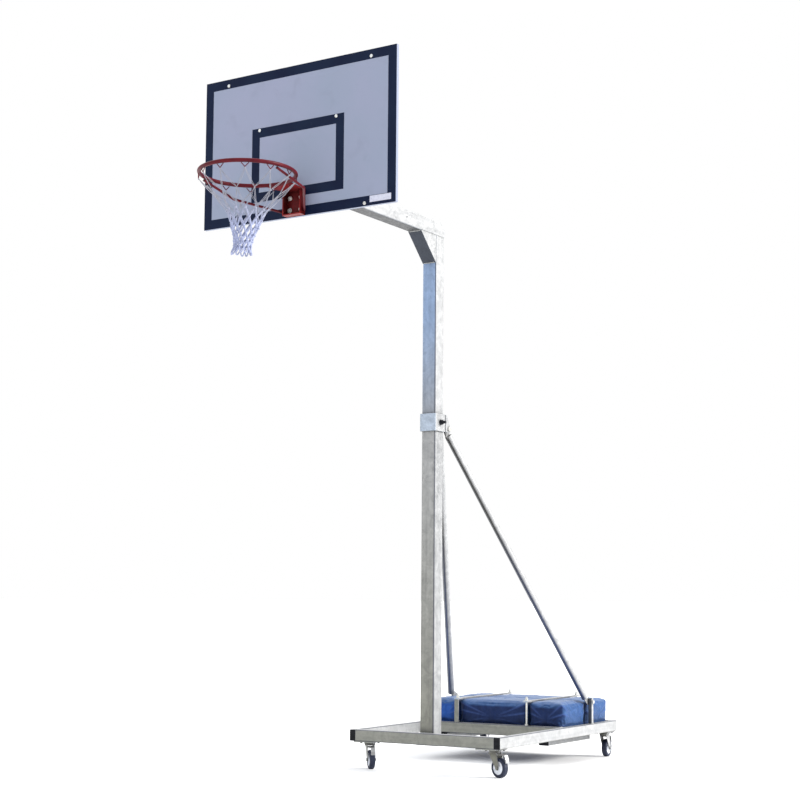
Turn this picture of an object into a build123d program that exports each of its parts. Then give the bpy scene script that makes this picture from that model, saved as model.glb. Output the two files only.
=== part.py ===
"""Portable basketball hoop: a wheeled steel base, a two-piece box mast, a backboard, a ring and a net.

Units are millimetres, +Z is up and the ring side faces -Y. The origin lies on the
ground under the middle of the whole hoop. Distances along Y are first measured
from the mast's centre line and then shifted by MAST_Y.
"""
from math import atan2, cos, degrees, radians, sin
import os

from build123d import *

MAST_Y = 258.0

# Base frame
BASE_HALF_WIDTH = 500.0
BASE_FRONT = -85.0
BASE_REAR = 1381.0
RAIL_WIDTH = 40.0
RAIL_BOTTOM = 160.0
RAIL_TOP = 225.0
MID_RAIL_FRONT = 691.0
RAIL_WALL = 3.0
RAIL_CORNER = 5.0
CAP_DEPTH = 3.0
CAP_PLUG = 18.0

# Runners under the ballast bay
RUNNER_INNER_X = 320.0
RUNNER_OUTER_X = 385.0
RUNNER_BOTTOM = 114.0
RUNNER_FRONT = 694.0
RUNNER_REAR = 1235.0

# Mast, collar and arm
MAST_SIZE = 90.0
MAST_WALL = 4.0
MAST_CORNER = 7.0
MAST_JOINT_Z = 1955.0
COLLAR_SIZE = 110.0
COLLAR_BORE = 90.8
COLLAR_BOTTOM = 1937.0
COLLAR_TOP = 2037.0
CHEEK_REAR = 108.0
CHEEK_SKIN = 6.0
LOCK_Z = 1988.0
LOCK_RADIUS = 8.0
ARM_BOTTOM = 3073.0
ARM_TOP = ARM_BOTTOM + MAST_SIZE
GUSSET_LEG = 158.0
GUSSET_SKIN = 4.0
VENT_RADIUS = 5.0
VENT_YZ = (-352.0, 3117.0)

# Stays and their posts
STAY_RADIUS = 21.2
STAY_WALL = 2.6
STAY_TOP = (30.0, 124.0, 1921.0)
STAY_FOOT = (477.0, 993.0, 382.0)
TOP_LUG_X = (26.0, 34.0)
TOP_LUG = ((76.0, 1971.0), (104.0, 1971.0), (150.0, 1905.0), (112.0, 1895.0), (76.0, 1943.0))
FOOT_LUG_X = (468.0, 474.0)
FOOT_LUG = ((972.0, 386.0), (1004.0, 396.0), (1061.0, 372.0), (1061.0, 338.0), (1030.0, 338.0))
POST_X = (475.0, 500.0)
POST_Y = (1034.0, 1059.0)
POST_TOP = 378.0
PIN_Y = 90.0
PIN_Z = 1957.0
PIN_RADIUS = 8.0
FOOT_BOLT_YZ = (1046.5, 356.0)
FOOT_BOLT_RADIUS = 6.0
BOLT_PLAY = 0.05
HEAD_HEIGHT = 8.0
NUT_HEIGHT = 12.0

# Ballast and hold-downs
BLOCK_SPANS = {"left": (-456.0, -265.0), "middle": (-262.0, 222.0), "right": (225.0, 456.0)}
BLOCK_LENGTH = 300.0
BLOCK_TOP = 362.0
BLOCK_EDGE = 12.0
BLOCK_ROWS = {"front": 735.0, "rear": 1038.0}
HOLD_DOWN_XS = (-255.0, 227.0)
HOLD_DOWN_ENDS = (692.0, 1391.0)
HOLD_DOWN_WIDTH = 30.0
HOLD_DOWN_Z = (364.0, 372.0)

# Backboard
BOARD_WIDTH = 1220.0
BOARD_BOTTOM = 2918.0
BOARD_TOP = 3714.0
BOARD_FACE_Y = -1310.0
BOARD_THICKNESS = 18.0
LINE_WIDTH = 50.0
PAINT = 0.4
TARGET_WIDTH = 588.0
TARGET_HEIGHT = 392.0
TARGET_RISE = 106.0
LABEL_X = (455.0, 583.0)
LABEL_Z = (2934.0, 2966.0)
FRAME_DEPTH = 25.0
END_PLATE = 8.0
BOARD_BOLTS = ((457.0, 3679.0), (245.0, 3405.0), (424.0, 2933.0))
BOARD_BOLT_RADIUS = 9.0

# Ring
RING_Z = 3050.0
RING_Y = BOARD_FACE_Y - 391.0
RING_BAR = 10.0
RING_RADIUS = 225.0 + RING_BAR
BRACKET_HALF_WIDTH = 57.0
BRACKET_SKIN = 6.0
BRACE_RADIUS = 6.5
HOOK_COUNT = 12
HOOK_START = 6.0
HOOK_WIRE = 2.2
HOOK_RADIUS = RING_RADIUS + 3.0
HOOK_SPREAD = 18.0
HOOK_DROP = 20.0
NET_PROFILE = ((211.0, -38.0), (90.0, -205.0), (66.0, -270.0), (45.0, -330.0), (46.0, -400.0))
NET_WALL = 3.0

# Casters
WHEEL_RADIUS = 54.0
WHEEL_HALF_WIDTH = 16.0
RIM_RADIUS = 37.0
AXLE_RADIUS = 5.0
TRAIL = 38.0
PLATE_TOP = 154.0
FRONT_PLATE = ((344.0, 472.0), (BASE_FRONT, 47.0))
REAR_PLATE = ((392.0, 490.0), (1276.0, BASE_REAR))
PLATE_THICKNESS = 5.0
FORK_SKIN = 3.0
FORK_HALF_GAP = 19.5
CROWN_TOP = 141.0
FORK_CROWN = ((-30.0, CROWN_TOP - 3.0), (30.0, CROWN_TOP - 3.0))
FORK_OUTLINE = FORK_CROWN + ((52.0, 62.0), (47.0, 42.0), (29.0, 42.0), (22.0, 58.0))
PEDAL_TOP = ((46.0, 131.0), (66.0, 133.0), (88.0, 126.0), (97.0, 104.0), (100.0, 84.0), (95.0, 84.0))
PEDAL_UNDERSIDE = ((91.0, 103.0), (83.0, 121.0), (65.0, 127.0), (55.0, 120.0), (46.0, 122.0))
PEDAL_PIVOT = (52.0, 126.0)
PEDAL_WIDTH = 24.0
PEDAL_PIN_RADIUS = 3.0
CASTERS = {
    "front_left": (-419.0, 3.0, (0.72, -0.69)),
    "front_right": (419.0, 3.0, (0.96, -0.28)),
    "rear_left": (-440.0, 1330.0, (-0.2, 0.98)),
    "rear_right": (440.0, 1330.0, (-0.105, 0.995)),
}


def back(y):
    """Y coordinate of a distance behind the mast's centre line."""
    return MAST_Y + y


def save(name, solid):
    """Label a sub-part and write it as its own STEP file."""
    solid.label = name
    export_step(solid, f"parts/{name}.step")


def slab(xs, ys, zs, mode=Mode.ADD):
    """Box between low and high corners, with Y measured from the mast."""
    middle = ((xs[0] + xs[1]) / 2, back((ys[0] + ys[1]) / 2), (zs[0] + zs[1]) / 2)
    with Locations(middle):
        Box(xs[1] - xs[0], ys[1] - ys[0], zs[1] - zs[0], mode=mode)


def rod(start, end, radius, mode=Mode.ADD):
    """Round bar between two points, with Y measured from the mast."""
    first = Vector(start[0], back(start[1]), start[2])
    last = Vector(end[0], back(end[1]), end[2])
    with Locations(Plane(origin=first, z_dir=last - first)):
        Cylinder(radius, (last - first).length, align=(Align.CENTER, Align.CENTER, Align.MIN), mode=mode)


def ball(centre, radius):
    """Round joint between two rods, with Y measured from the mast."""
    with Locations((centre[0], back(centre[1]), centre[2])):
        Sphere(radius)


def box_tube(plane, width, height, length, wall, corner):
    """Hollow rectangular section standing on a plane."""
    with BuildPart() as tube:
        with BuildSketch(plane):
            RectangleRounded(width, height, corner)
            RectangleRounded(width - 2 * wall, height - 2 * wall, corner - wall, mode=Mode.SUBTRACT)
        extrude(amount=length)
    return tube.part


def end_cap(plane, width, height, wall, corner):
    """Plastic plug with a lid; the plane is the tube's end face, facing outwards."""
    with BuildPart() as cap:
        with BuildSketch(plane):
            RectangleRounded(width, height, corner)
        extrude(amount=CAP_DEPTH)
        with BuildSketch(plane):
            Rectangle(width - 2 * wall - 2, height - 2 * wall - 2)
        extrude(amount=-CAP_PLUG)
        edges = cap.faces().sort_by(Axis((0, 0, 0), plane.z_dir))[-1].edges()
        fillet(edges, radius=1.2)
    return cap.part


def facing_y(x, y, z, sign):
    """Plane at a point that faces forwards (-1) or backwards (+1)."""
    return Plane(origin=(x, back(y), z), x_dir=(1, 0, 0), z_dir=(0, sign, 0))


def profile(outline, low_x, thickness, mode=Mode.ADD):
    """Plate of a side-view outline, from a low X and a thickness."""
    with BuildSketch(Plane(origin=(low_x, back(0), 0), x_dir=(0, 1, 0), z_dir=(1, 0, 0))) as drawing:
        with BuildLine():
            Polyline(*outline, close=True)
        make_face()
    extrude(drawing.sketch, amount=thickness, mode=mode)


def across_bar(xs, side, yz, radius, mode=Mode.ADD):
    """Bar along X through a plate on one side, 5 mm past each face."""
    start = (side * (xs[0] - 5.0), *yz)
    end = (side * (xs[1] + 5.0), *yz)
    rod(start, end, radius, mode)


# ---------------------------------------------------------------- base frame

def make_side_rails():
    middle_x = BASE_HALF_WIDTH - RAIL_WIDTH / 2
    middle_z = (RAIL_BOTTOM + RAIL_TOP) / 2
    height = RAIL_TOP - RAIL_BOTTOM
    length = BASE_REAR - BASE_FRONT - 2 * CAP_DEPTH
    with BuildPart() as side_rails:
        for side in (-1, 1):
            start = facing_y(side * middle_x, BASE_FRONT + CAP_DEPTH, middle_z, 1)
            add(box_tube(start, RAIL_WIDTH, height, length, RAIL_WALL, RAIL_CORNER))
    save("side_rails", side_rails.part)
    with BuildPart() as side_rail_caps:
        for side in (-1, 1):
            front = facing_y(side * middle_x, BASE_FRONT + CAP_DEPTH, middle_z, -1)
            add(end_cap(front, RAIL_WIDTH, height, RAIL_WALL, RAIL_CORNER))
            rear = facing_y(side * middle_x, BASE_REAR - CAP_DEPTH, middle_z, 1)
            add(end_cap(rear, RAIL_WIDTH, height, RAIL_WALL, RAIL_CORNER))
    save("side_rail_caps", side_rail_caps.part)


def make_cross_rails():
    height = RAIL_TOP - RAIL_BOTTOM
    span = 2 * (BASE_HALF_WIDTH - RAIL_WIDTH)
    fronts = (BASE_FRONT, MID_RAIL_FRONT, BASE_REAR - RAIL_WIDTH)
    with BuildPart() as cross_rails:
        for front in fronts:
            origin = (-span / 2, back(front + RAIL_WIDTH / 2), (RAIL_BOTTOM + RAIL_TOP) / 2)
            start = Plane(origin=origin, x_dir=(0, 1, 0), z_dir=(1, 0, 0))
            add(box_tube(start, RAIL_WIDTH, height, span, RAIL_WALL, RAIL_CORNER))
    save("cross_rails", cross_rails.part)


def make_runners():
    width = RUNNER_OUTER_X - RUNNER_INNER_X
    height = RAIL_BOTTOM - RUNNER_BOTTOM
    middle_x = (RUNNER_OUTER_X + RUNNER_INNER_X) / 2
    middle_z = (RUNNER_BOTTOM + RAIL_BOTTOM) / 2
    with BuildPart() as runners:
        for side in (-1, 1):
            start = facing_y(side * middle_x, RUNNER_FRONT, middle_z, 1)
            add(box_tube(start, width, height, RUNNER_REAR - RUNNER_FRONT, RAIL_WALL, RAIL_CORNER))
    save("runners", runners.part)
    with BuildPart() as runner_caps:
        for side in (-1, 1):
            front = facing_y(side * middle_x, RUNNER_FRONT, middle_z, -1)
            add(end_cap(front, width, height, RAIL_WALL, RAIL_CORNER))
            rear = facing_y(side * middle_x, RUNNER_REAR, middle_z, 1)
            add(end_cap(rear, width, height, RAIL_WALL, RAIL_CORNER))
    save("runner_caps", runner_caps.part)


def make_mounting_plates():
    with BuildPart() as mounting_plates:
        for side in (-1, 1):
            for xs, ys in (FRONT_PLATE, REAR_PLATE):
                slab(sorted((side * xs[0], side * xs[1])), ys, (PLATE_TOP, RAIL_BOTTOM))
    save("mounting_plates", mounting_plates.part)


# ---------------------------------------------------------------- mast

def make_mast_lower():
    start = Plane(origin=(0, back(0), RAIL_BOTTOM), z_dir=(0, 0, 1))
    tube = box_tube(start, MAST_SIZE, MAST_SIZE, MAST_JOINT_Z - RAIL_BOTTOM, MAST_WALL, MAST_CORNER)
    save("mast_lower", tube)
    with BuildPart() as mast_foot:
        slab((-70.0, 70.0), (BASE_FRONT + 45.0, 75.0), (RAIL_BOTTOM - 6.0, RAIL_BOTTOM))
    save("mast_foot", mast_foot.part)


def make_collar():
    half = COLLAR_SIZE / 2
    wall = (COLLAR_SIZE - COLLAR_BORE) / 2
    start = Plane(origin=(0, back(0), COLLAR_BOTTOM), z_dir=(0, 0, 1))
    with BuildPart() as collar:
        add(box_tube(start, COLLAR_SIZE, COLLAR_SIZE, COLLAR_TOP - COLLAR_BOTTOM, wall, wall + 1.0))
        inside = (half - wall - 1.0, 0.0, LOCK_Z)
        outside = (half + 1.0, 0.0, LOCK_Z)
        rod(inside, outside, LOCK_RADIUS + BOLT_PLAY, Mode.SUBTRACT)
    save("collar", collar.part)

    lower = ((half, COLLAR_BOTTOM), (CHEEK_REAR, COLLAR_BOTTOM), (CHEEK_REAR, 1962.0))
    cheek = lower + ((66.0, COLLAR_TOP), (half, COLLAR_TOP))
    with BuildPart() as cheek_plates:
        for x in (-half, half - CHEEK_SKIN):
            profile(cheek, x, CHEEK_SKIN)
        rod((-half - 1.0, PIN_Y, PIN_Z), (half + 1.0, PIN_Y, PIN_Z), PIN_RADIUS + BOLT_PLAY, Mode.SUBTRACT)
    save("cheek_plates", cheek_plates.part)

    with BuildPart() as lock_bolt:
        rod((MAST_SIZE / 2 + 0.3, 0.0, LOCK_Z), (half + 34.0, 0.0, LOCK_Z), LOCK_RADIUS)
        with Locations(Plane(origin=(half, back(0), LOCK_Z), z_dir=(1, 0, 0))):
            Cylinder(16.0, 2.5, align=(Align.CENTER, Align.CENTER, Align.MIN))
        with BuildSketch(Plane(origin=(half + 2.5, back(0), LOCK_Z), z_dir=(1, 0, 0))):
            RegularPolygon(13.9, 6)
        extrude(amount=13.0)
    save("lock_bolt", lock_bolt.part)


def make_upper_mast():
    half = MAST_SIZE / 2
    start = Plane(origin=(0, back(0), MAST_JOINT_Z), z_dir=(0, 0, 1))
    tube = box_tube(start, MAST_SIZE, MAST_SIZE, ARM_BOTTOM - MAST_JOINT_Z, MAST_WALL, MAST_CORNER)
    save("mast_upper", tube)

    arm_front = BOARD_FACE_Y + BOARD_THICKNESS + END_PLATE
    arm_start = facing_y(0, arm_front, (ARM_BOTTOM + ARM_TOP) / 2, 1)
    arm_length = half - CAP_DEPTH - arm_front
    with BuildPart() as arm:
        add(box_tube(arm_start, MAST_SIZE, MAST_SIZE, arm_length, MAST_WALL, MAST_CORNER))
        rod((half - 6.0, *VENT_YZ), (half + 1.0, *VENT_YZ), VENT_RADIUS, Mode.SUBTRACT)
    save("arm", arm.part)
    with BuildPart() as arm_end_cover:
        with BuildSketch(facing_y(0, half - CAP_DEPTH, (ARM_BOTTOM + ARM_TOP) / 2, 1)):
            RectangleRounded(MAST_SIZE, MAST_SIZE, MAST_CORNER)
        extrude(amount=CAP_DEPTH)
    save("arm_end_cover", arm_end_cover.part)


def make_arm_gusset():
    half = MAST_SIZE / 2
    corner = (-half, ARM_BOTTOM)
    lower = (-half, ARM_BOTTOM - GUSSET_LEG)
    outer = (-half - GUSSET_LEG, ARM_BOTTOM)
    inset = GUSSET_SKIN * 2 ** 0.5
    inner_lower = (-half, ARM_BOTTOM - GUSSET_LEG + inset)
    inner_outer = (-half - GUSSET_LEG + inset, ARM_BOTTOM)
    with BuildPart() as arm_gusset:
        profile((corner, outer, lower), -half, MAST_SIZE)
        hollow = (corner, inner_outer, inner_lower)
        profile(hollow, -half + GUSSET_SKIN, MAST_SIZE - 2 * GUSSET_SKIN, Mode.SUBTRACT)
    save("arm_gusset", arm_gusset.part)


# ---------------------------------------------------------------- stays

def make_stays():
    for name, side in (("stay_left", -1), ("stay_right", 1)):
        top = (side * STAY_TOP[0], STAY_TOP[1], STAY_TOP[2])
        foot = (side * STAY_FOOT[0], STAY_FOOT[1], STAY_FOOT[2])
        with BuildPart() as stay:
            rod(top, foot, STAY_RADIUS)
            rod(top, foot, STAY_RADIUS - STAY_WALL, Mode.SUBTRACT)
            for outline, xs in ((TOP_LUG, TOP_LUG_X), (FOOT_LUG, FOOT_LUG_X)):
                low_x, high_x = sorted((side * xs[0], side * xs[1]))
                profile(outline, low_x, high_x - low_x)
            across_bar(TOP_LUG_X, side, (PIN_Y, PIN_Z), PIN_RADIUS + BOLT_PLAY, Mode.SUBTRACT)
            across_bar(FOOT_LUG_X, side, FOOT_BOLT_YZ, FOOT_BOLT_RADIUS + BOLT_PLAY, Mode.SUBTRACT)
        save(name, stay.part)


def make_posts():
    post_width = POST_X[1] - POST_X[0]
    post_depth = POST_Y[1] - POST_Y[0]
    middle_x = (POST_X[0] + POST_X[1]) / 2
    middle_y = (POST_Y[0] + POST_Y[1]) / 2
    with BuildPart() as stay_posts:
        for side in (-1, 1):
            start = Plane(origin=(side * middle_x, back(middle_y), RAIL_TOP), z_dir=(0, 0, 1))
            add(box_tube(start, post_width, post_depth, POST_TOP - RAIL_TOP, RAIL_WALL, RAIL_CORNER))
            across_bar(POST_X, side, FOOT_BOLT_YZ, FOOT_BOLT_RADIUS + BOLT_PLAY, Mode.SUBTRACT)
    save("stay_posts", stay_posts.part)

    half = COLLAR_SIZE / 2
    with BuildPart() as stay_bolts:
        rod((-half - NUT_HEIGHT, PIN_Y, PIN_Z), (half + HEAD_HEIGHT, PIN_Y, PIN_Z), PIN_RADIUS)
        rod((half, PIN_Y, PIN_Z), (half + HEAD_HEIGHT, PIN_Y, PIN_Z), PIN_RADIUS + 5.5)
        rod((-half, PIN_Y, PIN_Z), (-half - NUT_HEIGHT, PIN_Y, PIN_Z), PIN_RADIUS + 5.5)
        for side in (-1, 1):
            inner = side * (FOOT_LUG_X[0] - 4.0)
            outer = side * (POST_X[1] + HEAD_HEIGHT)
            rod((inner, *FOOT_BOLT_YZ), (outer, *FOOT_BOLT_YZ), FOOT_BOLT_RADIUS)
            rod((side * POST_X[1], *FOOT_BOLT_YZ), (outer, *FOOT_BOLT_YZ), FOOT_BOLT_RADIUS + 4.5)
    save("stay_bolts", stay_bolts.part)


# ---------------------------------------------------------------- ballast

def make_ballast():
    for row, front in BLOCK_ROWS.items():
        for place, span in BLOCK_SPANS.items():
            with BuildPart() as block:
                slab(span, (front, front + BLOCK_LENGTH), (RAIL_BOTTOM, BLOCK_TOP))
                fillet(block.edges(), radius=BLOCK_EDGE)
            save(f"ballast_{row}_{place}", block.part)


def make_hold_downs():
    front, rear = HOLD_DOWN_ENDS
    low, high = HOLD_DOWN_Z
    mid_rail_y = MID_RAIL_FRONT + RAIL_WIDTH / 2
    rear_rail_y = BASE_REAR - RAIL_WIDTH / 2
    half = HOLD_DOWN_WIDTH / 2
    with BuildPart() as hold_down_bars:
        for x in HOLD_DOWN_XS:
            slab((x - half, x + half), (front, rear), (low, high))
            for y in (mid_rail_y, rear_rail_y):
                rod((x, y, low - 1.0), (x, y, high + 1.0), 6.05, Mode.SUBTRACT)
    save("hold_down_bars", hold_down_bars.part)

    with BuildPart() as hold_down_rods:
        for x in HOLD_DOWN_XS:
            for y in (mid_rail_y, rear_rail_y):
                rod((x, y, RAIL_TOP), (x, y, high + 22.0), 6.0)
                rod((x, y, RAIL_TOP), (x, y, RAIL_TOP + 9.0), 11.0)
                rod((x, y, high), (x, y, high + 2.0), 14.0)
                with BuildSketch(Plane(origin=(x, back(y), high + 2.0), z_dir=(0, 0, 1))):
                    RegularPolygon(11.0, 6)
                extrude(amount=10.0)
    save("hold_down_rods", hold_down_rods.part)

    strap_x = HOLD_DOWN_XS[0]
    with BuildPart() as hold_down_strap:
        slab((strap_x - 14.0, strap_x + 14.0), (694.0, 699.0), (RAIL_TOP, low))
    save("hold_down_strap", hold_down_strap.part)


# ---------------------------------------------------------------- backboard

def make_board_frame():
    back_face = BOARD_FACE_Y + BOARD_THICKNESS
    with BuildPart() as end_plate:
        slab((-110.0, 110.0), (back_face, back_face + END_PLATE), (2929.0, 3225.0))
    save("end_plate", end_plate.part)

    diagonal_start = (122.0, 3246.0)
    diagonal_end = (470.0, 3696.0)
    run = diagonal_end[0] - diagonal_start[0]
    rise = diagonal_end[1] - diagonal_start[1]
    length = (run ** 2 + rise ** 2) ** 0.5
    tilt = degrees(atan2(rise, run))
    middle_x = (diagonal_start[0] + diagonal_end[0]) / 2
    middle_z = (diagonal_start[1] + diagonal_end[1]) / 2
    middle_y = back(back_face + FRAME_DEPTH / 2)
    with BuildPart() as board_frame:
        for side in (-1, 1):
            with Locations(Location((side * middle_x, middle_y, middle_z), (0, -side * tilt, 0))):
                Box(length, FRAME_DEPTH, 40.0)
            slab(sorted((side * 110.0, side * 470.0)), (back_face, back_face + FRAME_DEPTH), (2931.0, 2966.0))
        slab((-180.0, 180.0), (back_face + END_PLATE, back_face + FRAME_DEPTH), (3185.0, 3222.0))
    save("board_frame", board_frame.part)


def make_board():
    half = BOARD_WIDTH / 2
    face = BOARD_FACE_Y
    with BuildPart() as backboard:
        slab((-half, half), (face, face + BOARD_THICKNESS), (BOARD_BOTTOM, BOARD_TOP))
    save("backboard", backboard.part)

    painted = (face - PAINT, face)
    with BuildPart() as board_border:
        slab((-half, half), painted, (BOARD_BOTTOM, BOARD_TOP))
        inner_z = (BOARD_BOTTOM + LINE_WIDTH, BOARD_TOP - LINE_WIDTH)
        slab((-half + LINE_WIDTH, half - LINE_WIDTH), painted, inner_z, Mode.SUBTRACT)
    save("board_border", board_border.part)

    low = BOARD_BOTTOM + TARGET_RISE
    high = low + TARGET_HEIGHT
    target = TARGET_WIDTH / 2
    with BuildPart() as target_lines:
        slab((-target, target), painted, (low, high))
        inner_xs = (-target + LINE_WIDTH, target - LINE_WIDTH)
        slab(inner_xs, painted, (low + LINE_WIDTH, high - LINE_WIDTH), Mode.SUBTRACT)
    save("target_lines", target_lines.part)

    with BuildPart() as board_label:
        slab(LABEL_X, (face - 2 * PAINT, face - PAINT), LABEL_Z)
    save("board_label", board_label.part)

    with BuildPart() as board_bolts:
        for x, z in BOARD_BOLTS:
            for side in (-1, 1):
                rod((side * x, face - PAINT - 0.1, z), (side * x, face - PAINT - 4.0, z), BOARD_BOLT_RADIUS)
        fillet(board_bolts.edges().filter_by(GeomType.CIRCLE).group_by(Axis.Y)[0], radius=3.0)
    save("board_bolts", board_bolts.part)


# ---------------------------------------------------------------- ring and net

def ring_point(angle, radius, drop):
    """Point on a circle around the ring's centre, below the ring's plane."""
    turn = radians(angle)
    return (radius * cos(turn), RING_Y + radius * sin(turn), RING_Z - drop)


def make_ring():
    with BuildPart() as ring:
        with Locations((0, back(RING_Y), RING_Z)):
            Torus(RING_RADIUS, RING_BAR)
    save("ring", ring.part)

    wall = BOARD_FACE_Y - PAINT - 0.1
    width = BRACKET_HALF_WIDTH
    top = RING_Z + BRACKET_SKIN / 2
    front_edge = ((78.0, 236.0), (40.0, 244.5), (0.0, 247.0), (-40.0, 244.5), (-78.0, 236.0))
    with BuildPart() as ring_bracket:
        slab((-width, width), (wall - BRACKET_SKIN, wall), (2920.0, top))
        for side in (-1, 1):
            slab(sorted((side * (width - BRACKET_SKIN), side * width)), (wall - 42.0, wall), (2920.0, top))
        with BuildSketch(Plane(origin=(0, back(0), top), z_dir=(0, 0, 1))):
            with BuildLine():
                front_points = [(x, RING_Y + y) for x, y in front_edge]
                Polyline((-width, wall), (width, wall), *front_points, close=True)
            make_face()
        extrude(amount=-BRACKET_SKIN)
        slab((-width, width), (wall - 42.0, wall), (2920.0, 2920.0 + BRACKET_SKIN))
    save("ring_bracket", ring_bracket.part)


def make_braces():
    with BuildPart() as ring_braces:
        for side in (-1, 1):
            start = (side * 227.0, RING_Y - 60.0, RING_Z - 17.6)
            bend = (side * 221.0, RING_Y + 161.0, RING_Z - 64.0)
            end = (side * 66.5, RING_Y + 372.0, RING_Z - 108.0)
            rod(start, bend, BRACE_RADIUS)
            ball(bend, BRACE_RADIUS)
            rod(bend, end, BRACE_RADIUS)
    save("ring_braces", ring_braces.part)


def make_hooks():
    top_drop = RING_BAR + HOOK_WIRE
    spread_angle = degrees(HOOK_SPREAD / HOOK_RADIUS)
    with BuildPart() as net_hooks:
        for count in range(HOOK_COUNT):
            angle = HOOK_START + 360.0 / HOOK_COUNT * count
            low = ring_point(angle, HOOK_RADIUS, top_drop + HOOK_DROP)
            ball(low, HOOK_WIRE + 0.3)
            for turn in (angle - spread_angle, angle + spread_angle):
                high = ring_point(turn, HOOK_RADIUS, top_drop)
                rod(low, high, HOOK_WIRE)
    save("net_hooks", net_hooks.part)


def make_bracket_bolts():
    wall = BOARD_FACE_Y - PAINT - 0.1 - BRACKET_SKIN
    with BuildPart() as bracket_bolts:
        for x in (-35.0, 35.0):
            for z in (2951.0, 3014.0):
                rod((x, wall, z), (x, wall - 2.0, z), 13.0)
                with BuildSketch(facing_y(x, wall - 2.0, z, -1)):
                    RegularPolygon(9.0, 6)
                extrude(amount=7.0)
    save("bracket_bolts", bracket_bolts.part)


def make_net():
    outer = [(radius, RING_Z + drop) for radius, drop in NET_PROFILE]
    inner = [(radius - NET_WALL, height) for radius, height in reversed(outer)]
    with BuildPart() as net:
        with BuildSketch(Plane(origin=(0, back(RING_Y), 0), x_dir=(1, 0, 0), z_dir=(0, -1, 0))):
            with BuildLine():
                Polyline(*outer, *inner, close=True)
            make_face()
        revolve(axis=Axis((0, back(RING_Y), 0), (0, 0, 1)))
    save("net", net.part)


# ---------------------------------------------------------------- casters

def placed(place, plane):
    """A plane of a caster's own frame, carried to the caster's place."""
    return Plane(place * plane.location)


def caster_location(x, y, trail):
    """Frame on the ground under a swivel, with local +X along the trail."""
    return Location((x, back(y), 0), (0, 0, degrees(atan2(trail[1], trail[0]))))


def make_caster_plates():
    with BuildPart() as caster_plates:
        for name, (x, y, trail) in CASTERS.items():
            wide, deep = (100.0, 85.0) if name.startswith("front") else (85.0, 100.0)
            with Locations((x, back(y), PLATE_TOP - PLATE_THICKNESS / 2)):
                Box(wide, deep, PLATE_THICKNESS)
            with Locations((x, back(y), (PLATE_TOP - PLATE_THICKNESS + CROWN_TOP + 0.4) / 2)):
                Cylinder(33.0, PLATE_TOP - PLATE_THICKNESS - CROWN_TOP - 0.4)
            for across in (-1, 1):
                for along in (-1, 1):
                    bolt_x = x + across * (wide / 2 - 11.0)
                    bolt_y = y + along * (deep / 2 - 11.0)
                    with Locations((bolt_x, back(bolt_y), PLATE_TOP - PLATE_THICKNESS - 3.0)):
                        Cylinder(6.5, 6.0)
    save("caster_plates", caster_plates.part)


def make_fork(name, place):
    outer = FORK_HALF_GAP + FORK_SKIN
    with BuildPart() as fork:
        with Locations(place * Location((0, 0, CROWN_TOP - 4.0))):
            Cylinder(31.0, 8.0)
        for low in (-outer, FORK_HALF_GAP):
            with BuildSketch(placed(place, Plane(origin=(0, low, 0), x_dir=(1, 0, 0), z_dir=(0, -1, 0)))):
                with BuildLine():
                    Polyline(*FORK_OUTLINE, close=True)
                make_face()
            extrude(amount=-FORK_SKIN)
        with Locations(place * Location((TRAIL, 0, WHEEL_RADIUS), (90, 0, 0))):
            Cylinder(AXLE_RADIUS, 2 * outer + 10.0)
        for side in (-1, 1):
            with Locations(place * Location((TRAIL, side * (outer + 3.0), WHEEL_RADIUS), (90, 0, 0))):
                Cylinder(8.5, 6.0)
        with Locations(place * Location((34.0, 0, PEDAL_PIVOT[1]))):
            Box(12.0, 2 * FORK_HALF_GAP + 2.0, 10.0)
        with Locations(place * Location((PEDAL_PIVOT[0], 0, PEDAL_PIVOT[1]), (90, 0, 0))):
            Cylinder(PEDAL_PIN_RADIUS, 2 * FORK_HALF_GAP - 6.0)
        for side in (-1, 1):
            with Locations(place * Location((44.0, side * 15.0, PEDAL_PIVOT[1]))):
                Box(18.0, 3.0, 8.0)
    save(f"{name}_fork", fork.part)


def make_wheel(name, place):
    axle_place = place * Location((TRAIL, 0, WHEEL_RADIUS), (90, 0, 0))
    half = WHEEL_HALF_WIDTH
    with BuildPart() as hub:
        with Locations(axle_place):
            Cylinder(RIM_RADIUS, 2 * half - 4.0)
            Cylinder(12.0, 2 * half + 4.0)
        for side in (-1, 1):
            with Locations(axle_place * Location((0, 0, side * (half - 2.0)))):
                Cylinder(RIM_RADIUS - 5.0, 8.0, mode=Mode.SUBTRACT)
        with Locations(axle_place):
            Cylinder(13.0, 2 * half + 4.0)
            Cylinder(AXLE_RADIUS + 0.05, 60.0, mode=Mode.SUBTRACT)
    save(f"{name}_hub", hub.part)
    with BuildPart() as tyre:
        with Locations(axle_place):
            Cylinder(WHEEL_RADIUS, 2 * half)
        fillet(tyre.edges(), radius=7.0)
        with Locations(axle_place):
            Cylinder(RIM_RADIUS, 60.0, mode=Mode.SUBTRACT)
    save(f"{name}_tyre", tyre.part)


def make_brake(name, place):
    with BuildPart() as brake:
        side_view = Plane(origin=(0, PEDAL_WIDTH / 2, 0), x_dir=(1, 0, 0), z_dir=(0, -1, 0))
        with BuildSketch(placed(place, side_view)):
            with BuildLine():
                Polyline(*PEDAL_TOP, *PEDAL_UNDERSIDE, close=True)
            make_face()
        extrude(amount=PEDAL_WIDTH)
        with Locations(place * Location((PEDAL_PIVOT[0], 0, PEDAL_PIVOT[1]), (90, 0, 0))):
            Cylinder(5.5, PEDAL_WIDTH)
            Cylinder(PEDAL_PIN_RADIUS + BOLT_PLAY, 60.0, mode=Mode.SUBTRACT)
    save(f"{name}_brake", brake.part)


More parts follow.
